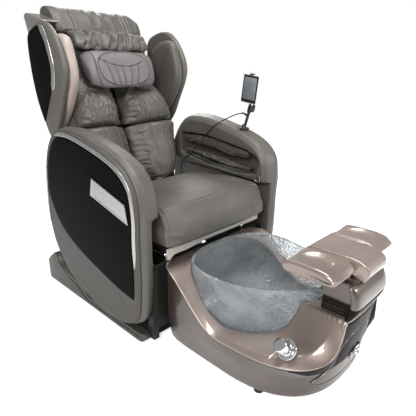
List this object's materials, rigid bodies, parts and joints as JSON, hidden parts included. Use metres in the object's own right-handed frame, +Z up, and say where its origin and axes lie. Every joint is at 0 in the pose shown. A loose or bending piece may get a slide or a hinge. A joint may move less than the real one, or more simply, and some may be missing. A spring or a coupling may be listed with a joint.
{
  "type": "pedicure spa chair",
  "caption": "Reclining pedicure spa chair with a padded massage back, side wings, closed arms, a glass foot bowl in a moulded tub, a footrest and a screen on a post.",
  "frame": {"origin": "centre of the object's bounding box in X and Y, on the floor that the feet stand on", "axes": "-Y forward towards the footrest, +X to the sitter's left, +Z up"},
  "size_m": [0.786, 1.4682, 1.2028],
  "materials": {
    "skid_plastic": "moulded grey-bronze plastic, satin",
    "dark_steel": "black powder-coated steel",
    "rubber": "black rubber, matt",
    "bright_steel": "chrome-plated and brushed steel",
    "gloss_black": "black gloss plastic with a clear coat",
    "taupe_leather": "taupe-grey upholstery leather, fine grain, satin",
    "mauve_leather": "mauve-grey soft leather, satin",
    "blush_leather": "pinkish-beige soft leather, satin",
    "silver_trim": "silver-painted plastic, satin",
    "lined_taupe": "taupe plastic with fine lines, satin",
    "bronze_gloss": "bronze-brown metallic gloss plastic",
    "fascia_black": "brown-black gloss plastic with bands",
    "hammered_glass": "clear hammered glass",
    "dark_fabric": "dark air-cell fabric, matt",
    "motor_grey": "grey die-cast metal",
    "white_plastic": "white plastic, satin",
    "screen_grey": "dark bezel with a grey screen",
    "black_plastic": "black plastic, satin"
  },
  "bodies": {
    "base": {"base_skid": "skid_plastic", "base_frame": "dark_steel", "feet": "rubber", "kick_panel": "black_plastic", "seat_rails": "bright_steel", "slide_actuator": "motor_grey", "right_arm_body": "taupe_leather", "left_arm_body": "taupe_leather", "right_arm_cover": "lined_taupe", "left_arm_cover": "lined_taupe", "right_arm_panel": "gloss_black", "left_arm_panel": "gloss_black", "right_arm_trim": "silver_trim", "left_arm_trim": "silver_trim", "arm_plates": "silver_trim", "right_arm_bags": "dark_fabric", "left_arm_bags": "dark_fabric", "remote_post": "black_plastic", "remote_cable": "rubber", "tub_shell": "bronze_gloss", "tub_deck": "bronze_gloss", "foot_bowl": "hammered_glass", "drain_fitting": "bright_steel", "jet_housing": "bright_steel", "pedestal": "fascia_black", "access_door": "fascia_black", "footrest_bracket": "bright_steel", "mixer_plate": "bright_steel", "sprayer_socket": "bright_steel"},
    "seat": {"seat_carriage": "dark_steel", "slide_rod": "bright_steel", "seat_cushion": "taupe_leather", "seat_flap": "taupe_leather", "recline_pins": "bright_steel", "recline_actuator": "motor_grey"},
    "back": {"back_frame": "dark_steel", "back_shell": "bronze_gloss", "back_cushion": "taupe_leather", "lumbar_cushion": "taupe_leather", "head_hood": "taupe_leather", "head_pillow": "mauve_leather", "right_wing_shell": "taupe_leather", "left_wing_shell": "taupe_leather", "right_wing_panel": "gloss_black", "left_wing_panel": "gloss_black", "right_wing_trim": "silver_trim", "left_wing_trim": "silver_trim", "right_wing_pad": "blush_leather", "left_wing_pad": "blush_leather", "massage_rails": "bright_steel"},
    "recline_drive": {"recline_rod": "bright_steel"},
    "massage": {"massage_carriage": "motor_grey"},
    "cradle": {"remote_cradle": "black_plastic"},
    "remote": {"remote_case": "white_plastic", "remote_screen": "screen_grey"},
    "plug": {"drain_plug": "bright_steel"},
    "impeller": {"jet_impeller": "motor_grey"},
    "footrest": {"footrest_pads": "bronze_gloss"},
    "mixer": {"mixer_lever": "bright_steel"},
    "hand_sprayer": {"sprayer": "bright_steel"}
  },
  "joints": [
    {"name": "seat_slide", "type": "slide", "parent": "base", "child": "seat", "axis": [0, -1, 0], "range_m": [-0.04, 0.06]},
    {"name": "recline", "type": "hinge", "parent": "seat", "child": "back", "pos_m": [0, 0.3939, 0.43], "axis": [-1, 0, 0], "range_deg": [0, 40]},
    {"name": "recline_drive", "type": "slide", "parent": "seat", "child": "recline_drive", "axis": [0, -1, 0], "range_m": [0, 0.069]},
    {"name": "massage_travel", "type": "slide", "parent": "back", "child": "massage", "axis": [0, 0.2924, 0.9563], "range_m": [-0.12, 0.32]},
    {"name": "remote_swivel", "type": "hinge", "parent": "base", "child": "cradle", "pos_m": [0.335, 0.0549, 0.702], "axis": [0, -0.3256, 0.9455], "range_deg": [-60, 60]},
    {"name": "remote_tilt", "type": "hinge", "parent": "cradle", "child": "remote", "pos_m": [0.347, 0.0219, 0.832], "axis": [0, 1, 0], "range_deg": [-8, 25]},
    {"name": "plug_lift", "type": "slide", "parent": "base", "child": "plug", "axis": [0, 0, 1], "range_m": [0, 0.008]},
    {"name": "impeller_spin", "type": "hinge", "parent": "base", "child": "impeller", "pos_m": [-0.206, -0.2361, 0.176], "axis": [1, 0, 0], "continuous": true},
    {"name": "footrest_tilt", "type": "hinge", "parent": "base", "child": "footrest", "pos_m": [0, -0.6241, 0.406], "axis": [-1, 0, 0], "range_deg": [0, 20]},
    {"name": "mixer_turn", "type": "hinge", "parent": "base", "child": "mixer", "pos_m": [-0.21255, -0.57932, 0.18504], "axis": [-0.7012, 0.2104, 0.6812], "range_deg": [-45, 45]},
    {"name": "sprayer_pull", "type": "slide", "parent": "base", "child": "hand_sprayer", "axis": [0, -0.9877, -0.1564], "range_m": [0, 0.04]}
  ],
  "couplings": [
    {"joint": "recline_drive", "follows": "recline", "m_per_rad": 0.0974}
  ]
}
